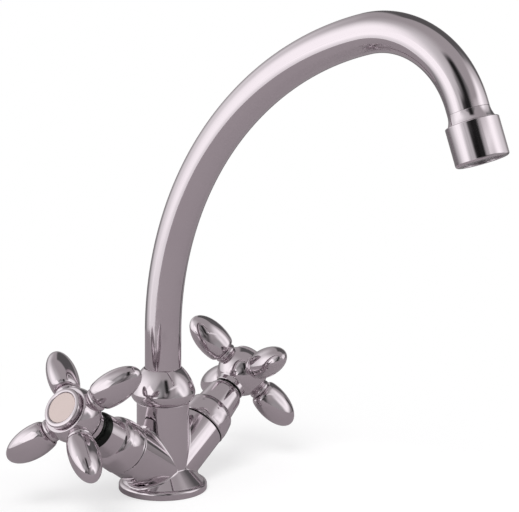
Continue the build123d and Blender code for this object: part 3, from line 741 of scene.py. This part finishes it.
class FAUCET_OT_add_body(bpy.types.Operator):
    """Adds the casting: the column with its foot, both valve arms and the cast blends"""

    bl_idname = "faucet.add_body"
    bl_label = "Add Casting"

    def execute(self, context):
        body = context.scene.faucet_body
        base, seam, end = body.ring_height, body.column_height, body.arm_length
        column = Outline(0, 0).out(body.ring_bore - FIT).up(base).out(body.foot_radius)
        column.to(body.column_radius, base + body.foot_height).up(seam).out(THREAD_RADIUS)
        column.up(seam + THREAD_LENGTH).out(BORE_RADIUS).up(seam - BORE_DEPTH).out(0)
        shells = [column.turned(edge=CAST_EDGE)]
        for valve in VALVES:
            arm = Outline(0, ARM_START).out(body.arm_radius).up(end - CAST_EDGE)
            arm.to(body.arm_radius - CAST_EDGE, end).out(CHAMBER_RADIUS)
            arm.up(end - CHAMBER_DEPTH).out(0)
            shell = placed(arm.turned(edge=CAST_EDGE), arm_place(valve))
            cut = bmesh.ops.bisect_plane(
                shell, geom=shell.verts[:] + shell.edges[:] + shell.faces[:],
                plane_co=(0, 0, base), plane_no=(0, 0, -1), clear_outer=True,
            )
            rim = [item for item in cut["geom_cut"] if isinstance(item, bmesh.types.BMEdge)]
            bmesh.ops.edgeloop_fill(shell, edges=rim)
            shells += [shell, blend_bead(valve)]
        finish = chrome("chrome_cast", waviness=1.6)
        add_piece("cast_body", joined(*shells), "root", "chrome", finish, "body_casting")
        return {"FINISHED"}


class FAUCET_OT_add_base_ring(bpy.types.Operator):
    """Adds the rounded ring that the casting stands on"""

    bl_idname = "faucet.add_base_ring"
    bl_label = "Add Base Ring"

    def execute(self, context):
        body = context.scene.faucet_body
        radius, height, bore = body.ring_radius, body.ring_height, body.ring_bore
        inner, outer, depth = GASKET_GROOVE
        ring = Outline(bore, 0).out(inner).up(depth).out(outer).up(0)
        ring.out(radius - RING_EDGE).quarter(radius, RING_EDGE)
        ring.up(height - body.ring_round).quarter(radius - body.ring_round, height)
        mesh = ring.out(bore).up(0).turned(160)
        finish = chrome("chrome_ring", (1, 1, 8))
        add_piece("deck_ring", mesh, "root", "chrome", finish, "base_ring")
        return {"FINISHED"}


class FAUCET_OT_add_collar(bpy.types.Operator):
    """Adds the domed nut that keeps the spout in the column"""

    bl_idname = "faucet.add_collar"
    bl_label = "Add Collar"

    def execute(self, context):
        collar = context.scene.faucet_collar
        seam = context.scene.faucet_body.column_height
        base, thread = seam + collar.seam, THREAD_RADIUS + FIT
        nut = Outline(thread, base).out(collar.foot_radius)
        nut.arc(collar.radius, seam + collar.waist_height, COLLAR_FOOT_BULGE)
        nut.arc(collar.top_radius, seam + collar.height, COLLAR_DOME_BULGE, 16)
        nut.out(collar.bore).up(seam + COLLAR_LEDGE).out(thread).up(base)
        mesh = nut.turned(144, edge=COLLAR_EDGE)
        finish = chrome("chrome_collar", (1, 1, 10))
        add_piece("domed_collar", mesh, "root", "chrome", finish, "spout_collar")
        return {"FINISHED"}


class FAUCET_OT_add_bonnets(bpy.types.Operator):
    """Adds the bell-shaped cover over each valve"""

    bl_idname = "faucet.add_bonnets"
    bl_label = "Add Bonnets"

    def execute(self, context):
        bonnet = context.scene.faucet_bonnet
        seam, shoulder, neck, rim, nose, top = bonnet.heights(
            context.scene.faucet_body.arm_length
        )
        bead, band, dome, tip = BELL_BULGES
        for valve, tilt in zip(VALVES, (55.5, -55.5)):
            bell = Outline(BELL_BORE, seam)
            for depth, rise in BELL_SEAM:
                bell.to(bonnet.band_radius - depth, seam + rise)
            bell.arc(bonnet.band_radius - FIT, seam + bonnet.bead_length, bead)
            bell.arc(bonnet.shoulder_radius, shoulder, band, 12)
            bell.arc(bonnet.neck_radius, neck, dome, 16).to(bonnet.rim_radius, rim)
            bell.arc(bonnet.top_radius, nose, tip, 14).up(top).out(bonnet.top_hole)
            bell.up(rim + BELL_LEDGE).out(BELL_NECK_BORE).up(neck - BELL_WALL)
            bell.to(BELL_SHOULDER_BORE, shoulder - BELL_WALL)
            bell.to(BELL_BORE, seam + BELL_BORE_LENGTH).up(seam)
            place = arm_place(valve)
            mesh = placed(bell.turned(144, edge=BELL_EDGE), place)
            axis = place.col[2].xyz
            # painted shade: between these heights the plate stays chrome; below and above it is
            # painted black
            dark = place.translation, axis, seam + SEAM_PAINTED_SHADE, rim + NOSE_PAINTED_SHADE[valve]
            grain, turn = (1, 1, 9), (0, math.radians(tilt), 0)
            finish = chrome(f"chrome_{valve}_bonnet", grain, turn, dark=dark)
            add_piece(f"{valve}_bell", mesh, "root", "chrome", finish, f"{valve}_bonnet")
        return {"FINISHED"}


class FAUCET_OT_add_spout(bpy.types.Operator):
    """Adds the bent tube"""

    bl_idname = "faucet.add_spout"
    bl_label = "Add Spout Tube"

    def execute(self, context):
        spout = context.scene.faucet_spout
        mesh = bmesh.new()
        for radius in (spout.radius, spout.radius - spout.wall):
            bmesh.ops.create_circle(mesh, segments=96, radius=radius)
        bmesh.ops.translate(mesh, vec=(0, 0, spout.base), verts=mesh.verts)
        rims = [mesh.edges[:]]
        ring = mesh.verts[:] + mesh.edges[:]
        place = Matrix.Translation((0, 0, spout.base))
        for rise, radius, turn, steps in (
            (spout.rise, 0, 0, 6),
            (0, spout.long_radius, spout.long_angle, 96),
            (0, spout.tight_radius, spout.tight_angle, 72),
            (spout.end_length, 0, 0, 2),
        ):
            made = bmesh.ops.spin(
                mesh, geom=ring, cent=place @ Vector((0, -radius, 0)), axis=(1, 0, 0),
                angle=turn, dvec=place.to_3x3() @ Vector((0, 0, rise / steps)), steps=steps,
            )
            place = place @ Matrix.Translation((0, 0, rise)) @ bend(radius, turn)
            ring = [item for item in made["geom_last"] if not isinstance(item, bmesh.types.BMFace)]
        rims.append([item for item in ring if isinstance(item, bmesh.types.BMEdge)])
        for rim in rims:
            bmesh.ops.bridge_loops(mesh, edges=rim)
        weld(mesh)
        finish = chrome("chrome_tube", (1, 0.2, 0.2))
        add_piece("bent_tube", mesh, "spout", "chrome", finish, "spout_tube")
        return {"FINISHED"}


class FAUCET_OT_add_outlet(bpy.types.Operator):
    """Adds the flared end of the tube and the aerator's sleeve"""

    bl_idname = "faucet.add_outlet"
    bl_label = "Add Outlet"

    def execute(self, context):
        outlet = context.scene.faucet_outlet
        spout = context.scene.faucet_spout
        place = outlet_place()
        flare, thread = outlet.flare_length, outlet.thread_radius
        neck = Outline(outlet.bore, -PLUG_LENGTH).out(spout.radius - spout.wall - PLUG_FIT)
        neck.up(0).out(spout.radius).arc(outlet.flare_radius, flare, FLARE_BULGE)
        neck.out(thread).up(flare + outlet.thread_length).out(outlet.bore).up(-PLUG_LENGTH)
        mesh = placed(neck.turned(edge=TURNED_EDGE), place)
        finish = chrome("chrome_flare")
        add_piece("flared_end", mesh, "spout", "chrome", finish, "outlet_fitting")
        base = flare + FIT
        mouth = base + outlet.sleeve_length
        radius, ledge = outlet.sleeve_radius, mouth - outlet.lip
        sleeve = Outline(thread + FIT, base).out(radius - SLEEVE_EDGE)
        sleeve.quarter(radius, base + SLEEVE_EDGE, 6).up(ledge)
        sleeve.quarter(radius - outlet.lip, mouth).out(outlet.mouth_radius)
        sleeve.up(ledge).out(thread + FIT).up(base)
        mesh = placed(sleeve.turned(edge=TURNED_EDGE), place)
        finish = chrome("chrome_sleeve", (1, 6, 6))
        add_piece("aerator_sleeve", mesh, "spout", "chrome", finish, "aerator_housing")
        return {"FINISHED"}


class FAUCET_OT_add_handles(bpy.types.Operator):
    """Adds the hub and the lobes of both cross handles"""

    bl_idname = "faucet.add_handles"
    bl_label = "Add Handles"

    def hub(self, handle):
        """Ball with a neck below and a cut face above."""
        foot = math.sqrt(handle.hub_radius ** 2 - handle.neck_radius ** 2)
        face = math.sqrt(handle.hub_radius ** 2 - handle.face_offset ** 2)
        chord = Vector((face - handle.neck_radius, handle.face_offset + foot))
        reach = math.sqrt(handle.hub_radius ** 2 - chord.length_squared / 4)
        ball = Outline(0, -handle.neck_length).out(handle.neck_radius).up(-foot)
        ball.arc(face, handle.face_offset, handle.hub_radius - reach, 36)
        return ball.out(0).turned(144, edge=CAST_EDGE)

    def lobe(self, handle):
        """Petal with a rounded root and a bead under it, standing on Z."""
        root = handle.lobe_seat + handle.bead_length
        flat = (root - handle.petal_centre) / handle.petal_length
        reach = math.sqrt((1 - CORNER_SHARE) ** 2 - (flat + CORNER_SHARE) ** 2)
        touch = Vector((reach, flat + CORNER_SHARE)).normalized()
        turn = math.atan2(touch.y, touch.x)
        corner_bulge = CORNER_SHARE * (1 - math.cos((math.pi / 2 + turn) / 2))
        petal = Outline(0, flat).out(reach).arc(touch.x, touch.y, corner_bulge)
        petal.arc(0, 1, 1 - math.cos((math.pi / 2 - turn) / 2), 40)
        shape = Matrix.Diagonal((handle.petal_width, handle.petal_depth, handle.petal_length, 1))
        shape = Matrix.Translation((0, 0, handle.petal_centre)) @ shape
        bead = Outline(0, handle.lobe_seat).out(handle.bead_radius)
        bead.arc(handle.bead_radius, root, BEAD_BULGE, 12).out(0)
        return joined(placed(petal.turned(96), shape), bead.turned(72))

    def execute(self, context):
        handle = context.scene.faucet_handle
        stand = Matrix.Rotation(math.pi / 2, 4, "Y") @ Matrix.Rotation(math.pi / 2, 4, "Z")
        for valve in VALVES:
            place = handle_place(valve)
            body = f"{valve}_handle"
            mesh = placed(self.hub(handle), place)
            finish = chrome("chrome_hub", waviness=1.3)
            add_piece(f"{valve}_ball", mesh, body, "chrome", finish, f"{valve}_handle_hub")
            for number in range(1, handle.lobes + 1):
                turn = Matrix.Rotation(math.tau * (number - 1) / handle.lobes, 4, "Z")
                mesh = placed(self.lobe(handle), place @ turn @ stand)
                name, node = f"{valve}_petal_{number}", f"{valve}_handle_lobe_{number}"
                add_piece(name, mesh, body, "chrome", chrome("chrome_petal"), node)
        return {"FINISHED"}


class FAUCET_OT_add_caps(bpy.types.Operator):
    """Adds the chromed cap and the plain disc on the end of each handle"""

    bl_idname = "faucet.add_caps"
    bl_label = "Add Index Caps"

    def execute(self, context):
        handle = context.scene.faucet_handle
        base = handle.face_offset + FIT
        top = base + handle.cap_thickness
        face = top - handle.index_recess
        seat = face - handle.index_thickness
        radius, index = handle.cap_radius, handle.index_radius
        for valve in VALVES:
            place = handle_place(valve)
            body = f"{valve}_handle"
            cap = Outline(0, base - SPIGOT_LENGTH).out(SPIGOT_RADIUS).up(base)
            cap.out(radius - GROOVE_DEPTH).up(base + GROOVE_WIDTH).out(radius)
            cap.up(top - RIM_HEIGHT)
            cap.arc(radius - RIM_WIDTH, top - RIM_CROWN, RIM_BULGE, 8)
            cap.arc(index + RECESS_MARGIN, top - FIT, RECESS_BULGE, 6)
            cap.to(index + FIT, face).up(seat).out(0)
            mesh = placed(cap.turned(144, edge=TURNED_EDGE), place)
            finish = chrome("chrome_cap")
            add_piece(f"{valve}_cap", mesh, body, "chrome", finish, f"{valve}_index_cap")
            disc = Outline(0, seat).out(index).up(face).out(0)
            mesh = placed(disc.turned(edge=DISC_EDGE), place)
            finish = index_enamel()
            add_piece(f"{valve}_face", mesh, body, "index_face", finish, f"{valve}_index_disc")
        return {"FINISHED"}


class FAUCET_OT_finish_inner_parts(bpy.types.Operator):
    """Gives every node that is kept from the frame its finish"""

    bl_idname = "faucet.finish_inner_parts"
    bl_label = "Finish Inner Parts"

    def execute(self, context):
        colours = context.scene.faucet_finish
        finishes = {
            "chrome": chrome("chrome_inner"),
            "brass": turned_brass(),
            "steel": bare_steel(),
            "rubber": black_rubber(),
            "ceramic": lapped_ceramic(),
            "glide_plastic": moulded_plastic("glide_plastic_finish", colours.glide, 1.0),
            "aerator_plastic": moulded_plastic("aerator_plastic_finish", colours.moulding, 1.4),
            "index_face": index_enamel(),
        }
        for part in frame["record"]["subparts"]:
            for place in frame["nodes"][part["node"]].material_slots:
                place.material = finishes[part["material_slot"]]
        return {"FINISHED"}


# ---- studio


# The room that the plate mirrors: azimuth and elevation of each soft box's or dark wall's middle,
# turn, half width, half height and softness in degrees, then brightness. A later one lies over an
# earlier one.
FAR_CARDS = (
    (-119.0, 7.2, 24.8, 50.0, 51.0, 25.4, 0.76),
    (-136.3, 5.1, 11.1, 28.9, 31.4, 18.7, 1.40),
    (-53.7, 30.8, 53.2, 18.9, 15.7, 4.7, 0.26),
    (-62.1, 9.1, 22.3, 20.0, 13.1, 6.4, 0.01),
    (32.8, 17.4, 38.3, 19.0, 19.0, 13.0, 1.80),
    (102.8, 39.1, -75.4, 26.5, 26.2, 4.1, 0.12),
    (-166.5, 0.2, 40.1, 13.3, 46.9, 17.3, 0.95),
    (-179.3, -31.8, -21.9, 27.8, 22.3, 12.0, 0.22),
)

# Cards that stand near the faucet, from the outermost in: distance, azimuth and elevation, turn,
# half width, half height and softness, then brightness. Distances in mm, angles in degrees.
NEAR_CARDS = (
    (620, 2.9, 25.7, 1.0, 396, 5, 46, 1.64),
    (580, -31.7, 3.0, 61.6, 266, 35, 92, 0.06),
    (550, -91.1, 2.9, -31.3, 257, 160, 15, 1.42),
    (520, 2.4, -8.6, 36.6, 191, 130, 69, 0.42),
    (490, 80.5, 32.2, 24.1, 84, 75, 9, 0.14),
    (460, -31.3, 30.4, 2.0, 56, 155, 41, 0.02),
    (430, -116.4, -16.1, -9.2, 147, 48, 38, 1.05),
    (400, 34.0, 15.1, 23.4, 94, 164, 124, 0.95),
    (370, 82.5, -17.5, 31.0, 30, 167, 13, 0.10),
    (340, -62.9, 7.1, -37.9, 76, 84, 69, 0.50),
)


def card_axes(azimuth, elevation, turn):
    """Directions to a card's middle and along its width and height."""
    azimuth, elevation, turn = (math.radians(value) for value in (azimuth, elevation, turn))
    flat = math.cos(elevation)
    middle = Vector((math.sin(azimuth) * flat, -math.cos(azimuth) * flat, math.sin(elevation)))
    across = Vector((math.cos(azimuth), math.sin(azimuth), 0))
    across.rotate(Quaternion(middle, turn))
    return middle, across, middle.cross(across)


def card_mask(widths, halves, softness):
    """1 within a soft-edged rectangle and 0 round it."""
    mask = 1
    for width, half in zip(widths, halves):
        mask = (1 - abs(width).step(half - softness, half + softness)) * mask
    return mask


def studio_light(paint):
    """What the plate mirrors: a mauve room with soft boxes and dark cards round the faucet."""
    studio = bpy.context.scene.faucet_studio
    ray = paint.node("ShaderNodeTexCoord", output=0)
    height = paint.dot(ray, (0, 0, 1))
    seen = paint.mix(height.step(-0.35, 0.45), studio.room_below, studio.room_above)
    for *place, half_width, half_height, softness, brightness in FAR_CARDS:
        middle, across, upwards = card_axes(*place)
        share = 2 / (paint.dot(ray, middle) + 1.001)
        widths = [paint.dot(ray, axis) * share for axis in (across, upwards)]
        *halves, soft = map(math.radians, (half_width, half_height, softness))
        seen = paint.mix(card_mask(widths, halves, soft), seen, [brightness] * 3)
    return seen


class FAUCET_OT_add_studio(bpy.types.Operator):
    """Adds the floor, the light and the camera"""

    bl_idname = "faucet.add_studio"
    bl_label = "Add Studio"

    def rays(self, paint, mirrored):
        """1 for what the camera sees straight or through glass, and a share of it in mirrors."""
        names = ("Is Camera Ray", "Is Glossy Ray", "Is Transmission Ray")
        camera, glossy, through = (
            paint.node("ShaderNodeLightPath", output=name) for name in names
        )
        return camera + through + glossy * mirrored

    def floor(self, context):
        """A plain pale floor that keeps the shadow, white to the camera."""
        studio = context.scene.faucet_studio
        mesh = bmesh.new()
        bmesh.ops.create_circle(mesh, cap_ends=True, segments=64, radius=studio.floor_radius)
        paint = new_paint("floor_paint")
        here = paint.node("ShaderNodeTexCoord", output=3)
        away = paint.node("ShaderNodeVectorMath", {"operation": "LENGTH"}, {0: here}, output=1)
        bright = FLOOR_GLOW + away.step(GLOW_START, GLOW_END) * (1 - FLOOR_GLOW)
        backdrop = paint.over(bright, paint.diffuse(FLOOR_WHITE), paint.glow(1.0))
        pale = paint.diffuse(studio.floor_colour)
        finish = paint.output(paint.over(self.rays(paint, FLOOR_MIRRORED), pale, backdrop))
        floor = add_object("floor", mesh, finish)

    def card(self, name, distance, azimuth, elevation, turn, *sizes):
        """A soft-edged card near the faucet that only mirrors show."""
        *halves, softness = (size / 1000 for size in sizes[:-1])
        middle, across, upwards = card_axes(azimuth, elevation, turn)
        mesh = bmesh.new()
        bmesh.ops.create_grid(mesh, x_segments=1, y_segments=1, size=1)
        size = Matrix.Diagonal((*(half + softness for half in halves), 1, 1))
        stand = Matrix((across, upwards, middle)).transposed().to_4x4()
        placed(mesh, Matrix.Translation(AIM + middle * (distance / 1000)) @ stand @ size)
        paint = new_paint(f"{name}_paint")
        here = paint.node("ShaderNodeTexCoord", output=3)
        widths = [paint.dot(here, axis) - AIM.dot(axis) for axis in (across, upwards)]
        mask = card_mask(widths, halves, softness)
        clear = paint.node("ShaderNodeBsdfTransparent")
        finish = paint.output(paint.over(mask, clear, paint.glow(sizes[-1])))
        card = add_object(name, mesh, finish)
        card.visible_camera = card.visible_diffuse = card.visible_transmission = False
        card.visible_shadow = card.visible_volume_scatter = False

    def world(self, context):
        """White backdrop for the camera, studio light for everything else."""
        world = context.scene.world or bpy.data.worlds.new("studio")
        context.scene.world = world
        paint = Paint(world)
        glossy = paint.node("ShaderNodeLightPath", output="Is Glossy Ray")
        plain = paint.mix(glossy, PLAIN_LIGHT, studio_light(paint))
        seen = paint.mix(self.rays(paint, 0), plain, (1, 1, 1))
        shader = paint.node("ShaderNodeBackground", {}, {"Color": seen, "Strength": 1.0})
        paint.output(shader, "ShaderNodeOutputWorld")

    def lamp(self, context, name, place, size, power):
        """A soft square lamp that points at the faucet."""
        data = bpy.data.lights.new(name, "AREA")
        data.shape = "SQUARE"
        data.size = size
        data.energy = power
        lamp = bpy.data.objects.new(name, data)
        lamp.visible_glossy = False
        lamp.location = place
        lamp.rotation_mode = "QUATERNION"
        lamp.rotation_quaternion = (Vector(place) - AIM).to_track_quat("Z", "Y")
        context.scene.collection.objects.link(lamp)

    def camera(self, context):
        """The photograph's point of view."""
        studio = context.scene.faucet_studio
        flat, height = math.cos(studio.elevation), math.sin(studio.elevation)
        right = Vector((math.cos(studio.azimuth), math.sin(studio.azimuth), 0))
        back = Vector((right.y * flat, -right.x * flat, height))
        target = Vector((0, 0, studio.target_height)) + right * studio.target_shift
        turn = Matrix((right, back.cross(right), back)).transposed().to_4x4()
        camera = bpy.data.objects.new("camera", bpy.data.cameras.new("camera"))
        camera.data.lens = studio.lens
        camera.data.sensor_width = 36
        camera.data.clip_start = 0.01
        camera.data.clip_end = 50
        place = Matrix.Translation(target + back * studio.distance)
        camera.matrix_world = place @ turn @ Matrix.Rotation(studio.roll, 4, "Z")
        context.scene.collection.objects.link(camera)
        context.scene.camera = camera

    def execute(self, context):
        context.scene.view_settings.view_transform = "Standard"
        self.floor(context)
        for number, card in enumerate(NEAR_CARDS, 1):
            self.card(f"card_{number}", *card)
        self.world(context)
        for name, place, size, share in LAMPS:
            power = context.scene.faucet_studio.key_power * share
            self.lamp(context, name, place, size, power)
        self.camera(context)
        return {"FINISHED"}


# ---- the panel, and the whole


GROUPS = {
    "faucet_body": FaucetBody,
    "faucet_collar": FaucetCollar,
    "faucet_spout": FaucetSpout,
    "faucet_outlet": FaucetOutlet,
    "faucet_bonnet": FaucetBonnet,
    "faucet_handle": FaucetHandle,
    "faucet_finish": FaucetFinish,
    "faucet_studio": FaucetStudio,
}

OPERATORS = (
    FAUCET_OT_finish_inner_parts,
    FAUCET_OT_add_body,
    FAUCET_OT_add_base_ring,
    FAUCET_OT_add_collar,
    FAUCET_OT_add_bonnets,
    FAUCET_OT_add_spout,
    FAUCET_OT_add_outlet,
    FAUCET_OT_add_handles,
    FAUCET_OT_add_caps,
    FAUCET_OT_add_studio,
)


class FAUCET_PT_panel(bpy.types.Panel):
    """Lists the faucet's pieces and sizes"""

    bl_label = "Kitchen Faucet"
    bl_idname = "FAUCET_PT_panel"
    bl_space_type = "VIEW_3D"
    bl_region_type = "UI"
    bl_category = "Faucet"

    def draw(self, context):
        layout = self.layout
        for operator in OPERATORS:
            layout.operator(operator.bl_idname)
        for name, group in GROUPS.items():
            box = layout.box()
            box.label(text=name.replace("_", " ").title())
            for item in group.__annotations__:
                box.prop(getattr(context.scene, name), item)


def register():
    """Registers the classes and puts the sizes on the scene."""
    for name, group in GROUPS.items():
        bpy.utils.register_class(group)
        setattr(bpy.types.Scene, name, PointerProperty(type=group))
    for item in (*OPERATORS, FAUCET_PT_panel):
        bpy.utils.register_class(item)


def unregister():
    """Takes the classes and the sizes away again."""
    for item in (FAUCET_PT_panel, *reversed(OPERATORS)):
        bpy.utils.unregister_class(item)
    for name, group in GROUPS.items():
        delattr(bpy.types.Scene, name)
        bpy.utils.unregister_class(group)


def main():
    """Adds the whole faucet."""
    register()
    for operator in OPERATORS:
        family, name = operator.bl_idname.split(".")
        getattr(getattr(bpy.ops, family), name)()


if __name__ == "__main__":
    main()
